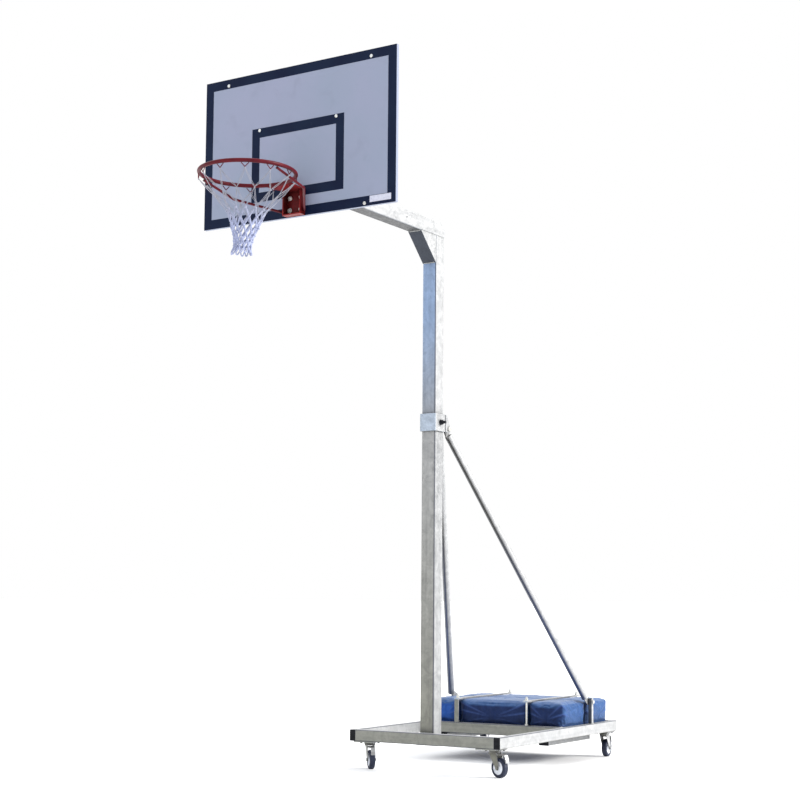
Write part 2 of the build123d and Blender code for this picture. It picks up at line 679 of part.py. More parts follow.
def make_casters():
    make_caster_plates()
    for corner, (x, y, trail) in CASTERS.items():
        name = f"caster_{corner}"
        place = caster_location(x, y, trail)
        make_fork(name, place)
        make_wheel(name, place)
        make_brake(name, place)


os.makedirs("parts", exist_ok=True)
make_side_rails()
make_cross_rails()
make_runners()
make_mounting_plates()
make_mast_lower()
make_collar()
make_upper_mast()
make_arm_gusset()
make_stays()
make_posts()
make_ballast()
make_hold_downs()
make_board_frame()
make_board()
make_ring()
make_braces()
make_hooks()
make_bracket_bolts()
make_net()
make_casters()
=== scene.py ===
"""Looks of the portable basketball hoop: finishes, ballast covers, knotted net, welds, floor and light."""

from math import cos, pi, radians, sin
from random import Random

import bmesh
import bpy
from mathutils import Matrix, Vector, noise


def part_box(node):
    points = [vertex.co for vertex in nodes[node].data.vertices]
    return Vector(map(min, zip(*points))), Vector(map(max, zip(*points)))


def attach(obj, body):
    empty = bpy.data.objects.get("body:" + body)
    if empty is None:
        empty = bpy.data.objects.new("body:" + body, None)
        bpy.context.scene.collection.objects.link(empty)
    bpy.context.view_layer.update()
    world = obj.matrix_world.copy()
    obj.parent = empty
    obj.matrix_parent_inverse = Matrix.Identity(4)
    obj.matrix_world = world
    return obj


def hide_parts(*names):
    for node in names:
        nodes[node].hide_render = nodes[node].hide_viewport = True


# Camera
CAMERA_PLACE = (4.7705, -7.2577, 0.9920)
CAMERA_YAW = 31.049
CAMERA_PITCH = 5.26
CAMERA_ROLL = 0.218
CAMERA_LENS = 69.88
CAMERA_SHIFT = (-0.08624, 0.06686)

# Light
SUN_DIRECTION = (0.84, 0.30, 0.45)
SUN_STRENGTH = 4.0
SUN_SOFTNESS = 16.0
ZENITH = 2.0
FILL_DIRECTION = (-0.45, -0.75, 0.5)
FILL_STRENGTH = 0.35

# Ballast blocks
BLOCK_VOXEL = 0.006
BLOCK_INSET = 0.0030
BLOCK_TOP_DROP = 0.004
BLOCK_EDGE = 0.013
BLOCK_SWELL = 0.005
BLOCK_DOME = 0.013
BLOCK_CROWN = 0.008
BLOCK_OVERHANG = 0.009
BLOCK_GAP = 0.0006
FOLD_HEIGHT = 0.0045
FOLD_HALF_WIDTH = 0.012
SEAM_HEIGHT = 0.0018
SEAM_HALF_WIDTH = 0.011
CLOTH_FRAMES = 14
CLOTH_PRESSURE = 2.0
CLOTH_STIFFNESS = 30
BAR_WIDTH = 0.031
BAR_CLEARANCE = 0.0008
BAR_REACH = 0.07

# Rails, stay posts, welds and floor
RAIL_WIDTH = 0.040
POST_WIDTH = 0.025
RAIL_WELD = (0.004, 0.036)
FRAME_BEAD = 0.0032
SMALL_BEAD = 0.0026
ARM_BEAD = 0.0030
FLOOR_REACH = 400.0

# Net: radius of each row of knots, and its height from the ring's centre
NET_STRANDS = 12
NET_START_ANGLE = 6.0
NET_ROWS = (
    (0.236, -0.036),
    (0.164, -0.112),
    (0.096, -0.190),
    (0.078, -0.232),
    (0.065, -0.272),
    (0.052, -0.308),
    (0.044, -0.340),
    (0.041, -0.366),
)
NET_HEM = (0.047, -0.394)
NET_THIN_ROWS = 2
NET_SWAY = 0.024
NET_SWAY_WAY = (-0.86, -0.5)
NET_SWAY_START = 0.12
NET_SWAY_RUN = 0.28
NET_THIN_GAP = 0.0028
NET_THICK_GAP = 0.0016
NET_THIN_SAG = -0.003
NET_THICK_SAG = -0.001
NET_THIN_CORD = 0.0013
NET_THICK_CORD = 0.0030
NET_HEM_CORD = 0.0034
NET_SMALL_KNOT = 0.0042
NET_LARGE_KNOT = 0.0070
NET_GREY_HEIGHTS = (2.78, 2.92)

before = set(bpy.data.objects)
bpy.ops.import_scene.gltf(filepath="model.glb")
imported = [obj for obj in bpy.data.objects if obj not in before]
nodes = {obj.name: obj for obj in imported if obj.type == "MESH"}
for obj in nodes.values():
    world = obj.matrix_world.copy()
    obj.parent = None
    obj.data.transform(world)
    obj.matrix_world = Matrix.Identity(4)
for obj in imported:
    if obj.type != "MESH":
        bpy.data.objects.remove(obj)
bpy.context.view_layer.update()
chance = Random(11)

# Dark and light zinc, the painted shade tints of faces that look forward or down, the colour of worn edges
# and the painted shade line along one rounded edge
ZINC = ((0.33, 0.335, 0.34), (0.50, 0.505, 0.51))
OLIVE_FRONT_SHADE = (0.52, 0.52, 0.45)
UNDERSIDE_SHADE = (0.075, 0.09, 0.125)
MAST_ZINC = ((0.25, 0.255, 0.26), (0.43, 0.435, 0.44))
EDGE_LIGHT = (0.55, 0.58, 0.63)
EDGE_SHADE_LINE = (0.035, 0.04, 0.06)

# Directions that grain runs in, as scales of the noise
ALONG_X = (2.2, 60.0, 60.0)
ALONG_Y = (60.0, 2.2, 60.0)
ALONG_Z = (60.0, 60.0, 1.6)
ANY_WAY = (24.0, 24.0, 24.0)

# Directions from a tube's middle to the edge that gets a painted shade line, and the one that its painted
# shade side looks in
FRONT_UPPER_EDGE = (0.0, -0.707, 0.707)
RIGHT_UPPER_EDGE = (0.707, 0.0, 0.707)
FRONT_RIGHT_EDGE = (0.707, -0.707, 0.0)
NO_EDGE = (0.0, 0.0, 0.0)
FRONT_AND_DOWN = (0.0, -0.62, -0.78)


# ---------------------------------------------------------------- shader tools

def start_material(name, roughness, metallic=0.0):
    """A new node material, its node tree and its Principled shader."""
    material = bpy.data.materials.new(name)
    material.use_nodes = True
    tree = material.node_tree
    shader = tree.nodes["Principled BSDF"]
    shader.inputs["Roughness"].default_value = roughness
    shader.inputs["Metallic"].default_value = metallic
    return material, tree, shader


def place_coordinates(tree, scale=(1.0, 1.0, 1.0), uv=False):
    """Coordinates in metres on the piece, or along a cord where uv is true, stretched by scale."""
    source = tree.nodes.new("ShaderNodeTexCoord")
    mapping = tree.nodes.new("ShaderNodeMapping")
    mapping.inputs["Scale"].default_value = scale
    tree.links.new(source.outputs["UV" if uv else "Object"], mapping.inputs["Vector"])
    return mapping.outputs["Vector"]


def noise_of(tree, vector, scale, detail=4.0, distortion=0.0):
    """Noise values of a given scale."""
    texture = tree.nodes.new("ShaderNodeTexNoise")
    texture.inputs["Scale"].default_value = scale
    texture.inputs["Detail"].default_value = detail
    texture.inputs["Distortion"].default_value = distortion
    tree.links.new(vector, texture.inputs["Vector"])
    return texture.outputs["Fac"]


def crystals(tree, vector, scale):
    """A random grey value for each zinc crystal."""
    texture = tree.nodes.new("ShaderNodeTexVoronoi")
    texture.inputs["Scale"].default_value = scale
    tree.links.new(vector, texture.inputs["Vector"])
    split = tree.nodes.new("ShaderNodeSeparateColor")
    tree.links.new(texture.outputs["Color"], split.inputs["Color"])
    return split.outputs[0]


def ribs(tree, vector, scale, direction="X"):
    """Regular ridges."""
    texture = tree.nodes.new("ShaderNodeTexWave")
    texture.bands_direction = direction
    texture.inputs["Scale"].default_value = scale
    tree.links.new(vector, texture.inputs["Vector"])
    return texture.outputs["Fac"]


def spread(tree, value, low, high, new_low, new_high):
    """A value carried from one range to another and clamped."""
    remap = tree.nodes.new("ShaderNodeMapRange")
    remap.inputs["From Min"].default_value = low
    remap.inputs["From Max"].default_value = high
    remap.inputs["To Min"].default_value = new_low
    remap.inputs["To Max"].default_value = new_high
    tree.links.new(value, remap.inputs["Value"])
    return remap.outputs["Result"]


def combine(tree, operation, first, second):
    """Arithmetic on a value and a value or plain number."""
    maths = tree.nodes.new("ShaderNodeMath")
    maths.operation = operation
    tree.links.new(first, maths.inputs[0])
    if isinstance(second, float):
        maths.inputs[1].default_value = second
    else:
        tree.links.new(second, maths.inputs[1])
    return maths.outputs[0]


def colours(tree, value, stops):
    """Colour ramp through (position, (r, g, b)) stops."""
    ramp = tree.nodes.new("ShaderNodeValToRGB")
    elements = ramp.color_ramp.elements
    while len(elements) < len(stops):
        elements.new(0.5)
    for element, (position, colour) in zip(elements, stops):
        element.position = position
        element.color = (*colour, 1.0)
    tree.links.new(value, ramp.inputs["Fac"])
    return ramp.outputs["Color"]


def blend_colour(tree, value, first, second, kind="MIX"):
    """Mix of a colour and a colour or plain (r, g, b) by a value or number."""
    mix = tree.nodes.new("ShaderNodeMix")
    mix.data_type = "RGBA"
    mix.blend_type = kind
    if isinstance(value, float):
        mix.inputs[0].default_value = value
    else:
        tree.links.new(value, mix.inputs[0])
    for source, socket in ((first, mix.inputs[6]), (second, mix.inputs[7])):
        if isinstance(source, tuple):
            socket.default_value = (*source, 1.0)
        else:
            tree.links.new(source, socket)
    return mix.outputs[2]


def relief(tree, height, distance, strength=1.0, below=None):
    """Bump from a height value, on top of another bump if one is given."""
    bump = tree.nodes.new("ShaderNodeBump")
    bump.inputs["Distance"].default_value = distance
    bump.inputs["Strength"].default_value = strength
    tree.links.new(height, bump.inputs["Height"])
    if below is not None:
        tree.links.new(below, bump.inputs["Normal"])
    return bump.outputs["Normal"]


def finish_surface(tree, shader, colour, roughness, normal):
    """Connects colour, roughness and normal to the shader."""
    tree.links.new(colour, shader.inputs["Base Color"])
    tree.links.new(roughness, shader.inputs["Roughness"])
    tree.links.new(normal, shader.inputs["Normal"])


def worn_edge(tree, radius):
    """1 near sharp edges and 0 elsewhere, from how far a rounded normal leans."""
    rounded = tree.nodes.new("ShaderNodeBevel")
    rounded.inputs["Radius"].default_value = radius
    flat = tree.nodes.new("ShaderNodeNewGeometry")
    lean = tree.nodes.new("ShaderNodeVectorMath")
    lean.operation = "DOT_PRODUCT"
    tree.links.new(rounded.outputs["Normal"], lean.inputs[0])
    tree.links.new(flat.outputs["Normal"], lean.inputs[1])
    return spread(tree, lean.outputs["Value"], 0.86, 0.995, 1.0, 0.0)


def looks_towards(tree, direction):
    """How far a face of the piece looks in a direction: 1 straight along it, 0 side-on and -1 away."""
    source = tree.nodes.new("ShaderNodeTexCoord")
    turned = tree.nodes.new("ShaderNodeVectorMath")
    turned.operation = "DOT_PRODUCT"
    turned.inputs[1].default_value = direction
    tree.links.new(source.outputs["Normal"], turned.inputs[0])
    return turned.outputs["Value"]


def by_height(tree, low_colour, high_colour, low, high):
    """Colour that changes between two heights in metres."""
    split = tree.nodes.new("ShaderNodeSeparateXYZ")
    tree.links.new(place_coordinates(tree), split.inputs["Vector"])
    share = spread(tree, split.outputs["Z"], low, high, 0.0, 1.0)
    return blend_colour(tree, share, low_colour, high_colour)


def dull_side(tree, base, front, under, direction=FRONT_AND_DOWN):
    """Painted shade, with painted reflection where the tints are bluish: tints a colour by front where a
    face looks partly in a direction, and by the underside tint where it looks fully along it.
    """
    facing = looks_towards(tree, direction)
    tint = blend_colour(tree, spread(tree, facing, 0.08, 0.56, 0.0, 1.0), (1.0, 1.0, 1.0), front)
    tint = blend_colour(tree, spread(tree, facing, 0.66, 0.97, 0.0, 1.0), tint, under)
    return blend_colour(tree, 1.0, base, tint, "MULTIPLY")


def painted_corner_shade(tree, base, reach, depth):
    """Painted shade: darkens a colour in corners and beneath lips, where ambient occlusion finds them."""
    corner = tree.nodes.new("ShaderNodeAmbientOcclusion")
    corner.samples = 4
    corner.inputs["Distance"].default_value = reach
    open_share = spread(tree, corner.outputs["AO"], 0.35, 0.95, depth, 1.0)
    shade_multiplier = tree.nodes.new("ShaderNodeCombineColor")
    for socket in shade_multiplier.inputs[:3]:
        tree.links.new(open_share, socket)
    return blend_colour(tree, 1.0, base, shade_multiplier.outputs["Color"], "MULTIPLY")


# ---------------------------------------------------------------- finishes

# The direction and underside entries set the painted shade of one side; the corner entry points at the edge
# that gets a painted shade line.
GALVANISED_LOOKS = {
    "base": ZINC,
    "heights": (0.0, 1.0),
    "dull": FRONT_AND_DOWN,
    "under": UNDERSIDE_SHADE,
    "corner": NO_EDGE,
    "edge": EDGE_LIGHT,
    "wear": 0.4,
    "flake": 0.6,
    "scuff": 0.3,
    "metallic": 0.35,
    "rough": (0.36, 0.58),
}


def galvanised(name, grain, front, **changes):
    """Hot-dip galvanised steel: crystals, runs along the grain, duller blotches, worn edges, and painted
    shade on one side, along one edge and in corners.

    The front tint of the painted shade is one colour, or a low and a high one that change over between two
    heights.
    """
    looks = {**GALVANISED_LOOKS, **changes}
    dark, light = looks["base"]
    material, tree, shader = start_material(name, 0.5, looks["metallic"])
    plain = place_coordinates(tree)
    drawn = place_coordinates(tree, grain)
    blotches = noise_of(tree, plain, 13.0, 6.0, 1.6)
    runs = noise_of(tree, drawn, 1.0, 5.0, 0.4)
    flakes = crystals(tree, plain, 95.0)
    specks = noise_of(tree, plain, 620.0, 2.0)
    patchy = combine(tree, "MULTIPLY", blotches, 0.62)
    patchy = combine(tree, "ADD", patchy, combine(tree, "MULTIPLY", runs, 0.38))
    middle = tuple((low + high) / 2 for low, high in zip(dark, light))
    colour = colours(tree, patchy, ((0.33, dark), (0.5, middle), (0.66, light)))
    flake_grey = colours(tree, flakes, ((0.0, (0.80, 0.81, 0.82)), (1.0, (1.0, 1.0, 1.0))))
    colour = blend_colour(tree, looks["flake"], colour, flake_grey, "MULTIPLY")
    scuffs = spread(tree, noise_of(tree, plain, 55.0, 8.0, 0.8), 0.60, 0.72, 0.0, looks["scuff"])
    colour = blend_colour(tree, scuffs, colour, tuple(0.55 * part for part in dark))
    # Painted shade on the faces that look the shade direction, by height where two tints are given.
    if len(front) == 2:
        front = by_height(tree, *front, *looks["heights"])
    colour = dull_side(tree, colour, front, looks["under"], looks["dull"])
    # Painted shade line along the rounded edge that looks in the corner direction.
    edge_shade_line = spread(tree, looks_towards(tree, looks["corner"]), 0.76, 0.90, 0.0, 0.8)
    colour = blend_colour(tree, edge_shade_line, colour, EDGE_SHADE_LINE)
    worn = combine(tree, "MULTIPLY", worn_edge(tree, 0.003), looks["wear"])
    colour = blend_colour(tree, worn, colour, looks["edge"])
    # Painted shade in corners and beneath lips.
    colour = painted_corner_shade(tree, colour, 0.05, 0.30)
    roughness = spread(tree, combine(tree, "ADD", flakes, patchy), 0.3, 1.4, *looks["rough"])
    normal = relief(tree, specks, 0.0002, 0.35)
    normal = relief(tree, patchy, 0.0016, 0.5, normal)
    normal = relief(tree, flakes, 0.0001, 0.6, normal)
    finish_surface(tree, shader, colour, roughness, normal)
    return material


def bright_zinc():
    """Electro-plated fixings: fine turning marks and a faint yellow tint."""
    material, tree, shader = start_material("bright_zinc", 0.3, 0.75)
    plain = place_coordinates(tree)
    stains = noise_of(tree, plain, 180.0, 5.0, 0.5)
    turned = noise_of(tree, plain, 1500.0, 2.0)
    base = colours(tree, stains, ((0.3, (0.44, 0.43, 0.38)), (0.7, (0.80, 0.81, 0.80))))
    roughness = spread(tree, stains, 0.3, 0.7, 0.42, 0.22)
    finish_surface(tree, shader, base, roughness, relief(tree, turned, 0.0001, 0.5))
    return material


def moulded_plastic(name, dark, light, grain=900.0, gloss=0.5):
    """Moulded plastic: fine spark-eroded grain, dust and slightly polished patches."""
    material, tree, shader = start_material(name, 0.5)
    shader.inputs["Specular IOR Level"].default_value = gloss
    plain = place_coordinates(tree)
    dust = noise_of(tree, plain, 60.0, 6.0, 0.4)
    texture = noise_of(tree, plain, grain, 3.0)
    base = colours(tree, dust, ((0.35, dark), (0.72, light)))
    roughness = spread(tree, dust, 0.3, 0.7, 0.38, 0.62)
    finish_surface(tree, shader, base, roughness, relief(tree, texture, 0.0002, 0.5))
    return material


def rubber():
    """Blue-black rubber tyre: grey scuffs where it rolls and faint mould lines."""
    material, tree, shader = start_material("tyre_rubber", 0.6)
    shader.inputs["Specular IOR Level"].default_value = 0.3
    plain = place_coordinates(tree)
    scuff = noise_of(tree, plain, 140.0, 7.0, 0.6)
    lines = noise_of(tree, plain, 1200.0, 2.0)
    stops = ((0.35, (0.010, 0.014, 0.034)), (0.62, (0.022, 0.028, 0.055)), (0.8, (0.10, 0.10, 0.11)))
    base = colours(tree, scuff, stops)
    roughness = spread(tree, scuff, 0.3, 0.75, 0.45, 0.8)
    finish_surface(tree, shader, base, roughness, relief(tree, lines, 0.0002, 0.6))
    return material


def vinyl(name, front):
    """PVC-coated fabric: woven base showing through, creases, dust, a painted highlight on the folds, a
    painted pale top and painted shade on the front and in corners.
    """
    material, tree, shader = start_material(name, 0.42)
    shader.inputs["Specular IOR Level"].default_value = 0.12
    plain = place_coordinates(tree)
    weave_x = ribs(tree, plain, 320.0, "X")
    weave_y = ribs(tree, plain, 320.0, "Y")
    weave_z = ribs(tree, plain, 320.0, "Z")
    weave = combine(tree, "ADD", combine(tree, "MULTIPLY", weave_x, weave_z), weave_y)
    creases = noise_of(tree, plain, 11.0, 5.0, 2.2)
    wear_and_fold_highlight = noise_of(tree, plain, 34.0, 6.0, 0.6)
    colour = colours(tree, creases, ((0.3, (0.020, 0.058, 0.16)), (0.68, (0.040, 0.100, 0.26))))
    dust = spread(tree, wear_and_fold_highlight, 0.55, 0.8, 0.0, 0.22)
    colour = blend_colour(tree, dust, colour, (0.11, 0.18, 0.32))
    # The fold strength gives a painted highlight along the fold ridges, mixed in after the painted shade.
    fold = tree.nodes.new("ShaderNodeAttribute")
    fold.attribute_name = "fold"
    fold_highlight = spread(tree, fold.outputs["Fac"], 0.06, 0.40, 0.0, 0.6)
    # Painted light: faces that look up are made paler.
    painted_top_light = spread(tree, looks_towards(tree, (0.0, 0.0, 1.0)), 0.45, 0.95, 0.0, 0.75)
    colour = blend_colour(tree, painted_top_light, colour, (0.13, 0.19, 0.33))
    # Painted shade on the faces that look forward and down.
    colour = dull_side(tree, colour, front, (0.10, 0.16, 0.28))
    colour = blend_colour(tree, fold_highlight, colour, (0.045, 0.085, 0.26))
    # Painted shade in corners and where covers meet.
    colour = painted_corner_shade(tree, colour, 0.06, 0.35)
    roughness = spread(tree, wear_and_fold_highlight, 0.3, 0.7, 0.30, 0.48)
    normal = relief(tree, weave, 0.0002, 0.35)
    normal = relief(tree, creases, 0.010, 0.4, normal)
    shader.inputs["Coat Weight"].default_value = 0.05
    shader.inputs["Coat Roughness"].default_value = 0.2
    finish_surface(tree, shader, colour, roughness, normal)
    return material


def board_face():
    """Painted board: pale lavender grey with brushed-out patches, ball marks and orange peel."""
    material, tree, shader = start_material("board_face", 0.45)
    shader.inputs["Specular IOR Level"].default_value = 0.3
    plain = place_coordinates(tree)
    wide = noise_of(tree, plain, 1.7, 4.0, 0.3)
    marks = noise_of(tree, plain, 9.0, 8.0, 0.7)
    peel = noise_of(tree, plain, 420.0, 3.0)
    base = colours(tree, wide, ((0.35, (0.222, 0.262, 0.345)), (0.65, (0.25, 0.27, 0.37))))
    smudge = spread(tree, marks, 0.58, 0.78, 0.0, 0.18)
    base = blend_colour(tree, smudge, base, (0.16, 0.17, 0.215))
    roughness = spread(tree, marks, 0.3, 0.7, 0.36, 0.55)
    normal = relief(tree, peel, 0.0003, 0.4)
    finish_surface(tree, shader, base, roughness, normal)
    return material


def line_paint():
    """Navy line paint: slightly uneven cover, scuffs and a thin raised film."""
    material, tree, shader = start_material("line_paint", 0.55)
    shader.inputs["Specular IOR Level"].default_value = 0.08
    plain = place_coordinates(tree)
    cover = noise_of(tree, plain, 6.0, 6.0, 0.5)
    scuffs = noise_of(tree, plain, 70.0, 8.0, 0.9)
    base = colours(tree, cover, ((0.3, (0.0035, 0.007, 0.026)), (0.7, (0.006, 0.013, 0.035))))
    chipped = spread(tree, scuffs, 0.66, 0.74, 0.0, 0.25)
    base = blend_colour(tree, chipped, base, (0.05, 0.065, 0.11))
    roughness = spread(tree, cover, 0.3, 0.7, 0.35, 0.5)
    finish_surface(tree, shader, base, roughness, relief(tree, scuffs, 0.0004, 0.4))
    return material


def label_face():
    """Blank label: pale lilac-grey film with a faint mottled gloss."""
    material, tree, shader = start_material("label_face", 0.3)
    plain = place_coordinates(tree)
    mottle = noise_of(tree, plain, 90.0, 5.0)
    base = colours(tree, mottle, ((0.3, (0.44, 0.45, 0.55)), (0.7, (0.54, 0.55, 0.64))))
    roughness = spread(tree, mottle, 0.3, 0.7, 0.25, 0.4)
    finish_surface(tree, shader, base, roughness, relief(tree, mottle, 0.0002, 0.3))
    return material


def ring_paint(name, deep, middle, faded):
    """Red enamel on steel: weathered patches, worn edges and chips down to the primer."""
    material, tree, shader = start_material(name, 0.35)
    shader.inputs["Specular IOR Level"].default_value = 0.12
    plain = place_coordinates(tree)
    weather = noise_of(tree, plain, 22.0, 6.0, 0.8)
    chips = noise_of(tree, plain, 150.0, 9.0, 0.5)
    peel = noise_of(tree, plain, 700.0, 2.0)
    base = colours(tree, weather, ((0.32, deep), (0.6, middle), (0.8, faded)))
    chipped = spread(tree, chips, 0.67, 0.71, 0.0, 0.75)
    base = blend_colour(tree, chipped, base, tuple(0.4 * part for part in deep))
    edge = combine(tree, "MULTIPLY", worn_edge(tree, 0.0015), 0.3)
    base = blend_colour(tree, edge, base, (0.24, 0.05, 0.045))
    # Painted shade in corners and hollows, deepest inside the bracket.
    base = painted_corner_shade(tree, base, 0.09, 0.12)
    roughness = spread(tree, weather, 0.3, 0.7, 0.28, 0.5)
    normal = relief(tree, peel, 0.0002, 0.4)
    normal = relief(tree, chips, 0.0004, 0.3, normal)
    finish_surface(tree, shader, base, roughness, normal)
    return material


def cord_fibre():
    """White nylon cord: twisted along its length, stained, greyer near the ring and bluer near the hem."""
    material, tree, shader = start_material("cord_fibre", 0.7)
    along = place_coordinates(tree, (1.0, 90.0, 1.0), uv=True)
    plain = place_coordinates(tree)
    twist = ribs(tree, along, 1.0, "DIAGONAL")
    fuzz = noise_of(tree, plain, 1800.0, 3.0)
    stains = noise_of(tree, plain, 45.0, 5.0, 0.4)
    base = colours(tree, stains, ((0.3, (0.66, 0.67, 0.74)), (0.62, (0.90, 0.91, 0.98))))
    # Darker by height: greyer near the ring, bluer towards the hem.
    height_tint = by_height(tree, (0.36, 0.40, 0.56), (0.27, 0.27, 0.29), *NET_GREY_HEIGHTS)
    base = blend_colour(tree, 1.0, base, height_tint, "MULTIPLY")
    # Painted shade in the hollows of the twist.
    groove_shade = spread(tree, twist, 0.0, 0.35, 0.35, 0.0)
    base = blend_colour(tree, groove_shade, base, (0.26, 0.27, 0.36))
    roughness = spread(tree, fuzz, 0.3, 0.7, 0.6, 0.85)
    normal = relief(tree, twist, 0.0007, 0.9)
    normal = relief(tree, fuzz, 0.0002, 0.4, normal)
    shader.inputs["Sheen Weight"].default_value = 0.25
    finish_surface(tree, shader, base, roughness, normal)
    return material


def weld_metal():
    """Galvanised weld bead: duller and rougher than the plate round it."""
    material, tree, shader = start_material("weld_metal", 0.55, 0.4)
    plain = place_coordinates(tree)
    scale_marks = noise_of(tree, plain, 260.0, 6.0, 0.5)
    base = colours(tree, scale_marks, ((0.3, (0.20, 0.20, 0.19)), (0.7, (0.46, 0.47, 0.47))))
    roughness = spread(tree, scale_marks, 0.3, 0.7, 0.45, 0.7)
    finish_surface(tree, shader, base, roughness, relief(tree, scale_marks, 0.0008, 0.7))
    return material


def floor_paint():
    """Pale studio floor with a barely visible mottle."""
    material, tree, shader = start_material("floor_paint", 0.8)
    plain = place_coordinates(tree)
    mottle = noise_of(tree, plain, 3.0, 5.0)
    base = colours(tree, mottle, ((0.3, (0.90, 0.90, 0.90)), (0.7, (0.93, 0.93, 0.93))))
    roughness = spread(tree, mottle, 0.3, 0.7, 0.75, 0.85)
    finish_surface(tree, shader, base, roughness, relief(tree, mottle, 0.0002, 0.2))
    return material


# Each front tint below is painted shade on the faces that look forward and down, and each underside tint a
# painted shade beneath them.
frame_y = galvanised("frame_steel_long", ALONG_Y, OLIVE_FRONT_SHADE, corner=RIGHT_UPPER_EDGE)
frame_x = galvanised("frame_steel_cross", ALONG_X, OLIVE_FRONT_SHADE, corner=FRONT_UPPER_EDGE)
plate_steel = galvanised("plate_steel", ANY_WAY, OLIVE_FRONT_SHADE)
post_steel = galvanised("post_steel", ALONG_Z, (0.24, 0.26, 0.30))
# Painted shade on the lower mast's front: deeper and warmer low down, almost none at the top.
mast_low = galvanised(
    "mast_steel_lower", ALONG_Z, ((0.58, 0.57, 0.48), (0.92, 0.91, 0.89)),
    heights=(0.3, 1.9), base=MAST_ZINC, corner=FRONT_RIGHT_EDGE,
)
# Painted shade on the upper mast's front, turning into a painted blue reflection higher up.
mast_high = galvanised(
    "mast_steel_upper", ALONG_Z, ((0.65, 0.69, 0.76), (0.58, 0.78, 1.14)),
    heights=(2.05, 2.6), corner=FRONT_RIGHT_EDGE,
)
# Painted shade on the arm's front and a dark painted shade beneath it.
arm_steel = galvanised(
    "arm_steel", ALONG_Y, (0.6, 0.62, 0.66), under=(0.14, 0.14, 0.14),
    dull=(0.0, -0.3, -0.954), scuff=0.1,
)
# Painted blue reflection on the collar's front, with little painted shade.
collar_steel = galvanised("collar_steel", ANY_WAY, (0.92, 1.05, 1.22), flake=0.9)
# Painted shade on the faces of the stays that look left and forward: near black high up, a painted blue
# reflection low down, lighter grey on the faces that look straight that way.
stay_steel = galvanised(
    "stay_steel", ALONG_Z, ((0.05, 0.09, 0.26), (0.05, 0.048, 0.043)), heights=(0.7, 1.4),
    under=(0.36, 0.38, 0.40), dull=(-0.62, -0.78, -0.05), flake=0.2, scuff=0.05,
    rough=(0.3, 0.42), wear=0.0,
)
fork_steel = galvanised("fork_steel", ANY_WAY, (0.42, 0.41, 0.33), rough=(0.3, 0.5))
pedal_steel = galvanised("pedal_steel", ANY_WAY, (0.62, 0.58, 0.55), rough=(0.3, 0.5))
zinc = bright_zinc()
black_plastic = moulded_plastic("black_plastic", (0.003, 0.0035, 0.005), (0.012, 0.013, 0.016), gloss=0.12)
black_steel = moulded_plastic("black_steel", (0.004, 0.005, 0.008), (0.02, 0.022, 0.03), 1600.0, 0.2)
wheel_plastic = moulded_plastic("wheel_plastic", (0.70, 0.73, 0.78), (0.84, 0.86, 0.90))
tyre = rubber()
board_panel = board_face()
navy_paint = line_paint()
label_film = label_face()
ring_enamel = ring_paint("ring_enamel", (0.060, 0.003, 0.008), (0.090, 0.005, 0.011), (0.13, 0.011, 0.014))
bracket_enamel = ring_paint(
    "bracket_enamel", (0.13, 0.009, 0.012), (0.20, 0.014, 0.014), (0.25, 0.024, 0.018),
)
net_fibre = cord_fibre()
weld = weld_metal()
# Both vinyls get painted shade on their fronts: the first a deep one, the second a lighter, bluer painted
# reflection.
vinyl_shaded_front = vinyl("vinyl_shaded_front", (0.22, 0.24, 0.36))
vinyl_lit_front = vinyl("vinyl_lit_front", (0.42, 0.85, 1.40))

NODE_FINISHES = {
    frame_y: ("side_rails", "runners"),
    frame_x: ("cross_rails",),
    plate_steel: ("mounting_plates", "mast_foot", "hold_down_strap", "end_plate", "board_frame"),
    post_steel: ("stay_posts",),
    mast_low: ("mast_lower",),
    mast_high: ("mast_upper", "arm_gusset"),
    arm_steel: ("arm", "arm_end_cover"),
    collar_steel: ("collar", "cheek_plates", "hold_down_bars"),
    stay_steel: ("stay_left", "stay_right"),
    zinc: ("stay_bolts", "hold_down_rods", "board_bolts", "bracket_bolts"),
    black_plastic: ("side_rail_caps", "runner_caps"),
    black_steel: ("lock_bolt",),
    board_panel: ("backboard",),
    navy_paint: ("board_border", "target_lines"),
    label_film: ("board_label",),
    ring_enamel: ("ring", "ring_braces", "net_hooks"),
    bracket_enamel: ("ring_bracket",),
    fork_steel: ("caster_plates",),
}
CASTER_FINISHES = {"fork": fork_steel, "hub": wheel_plastic, "tyre": tyre, "brake": pedal_steel}
CORNERS = ("front_left", "front_right", "rear_left", "rear_right")


def paint_node(name, material):
    """Gives a CAD node one finish."""
    slots = nodes[name].material_slots
    for slot in slots:
        slot.material = material


def paint_nodes():
    for material, names in NODE_FINISHES.items():
        for name in names:
            paint_node(name, material)
    for corner in CORNERS:
        for part, material in CASTER_FINISHES.items():
            paint_node(f"caster_{corner}_{part}", material)


# ---------------------------------------------------------------- mesh tools

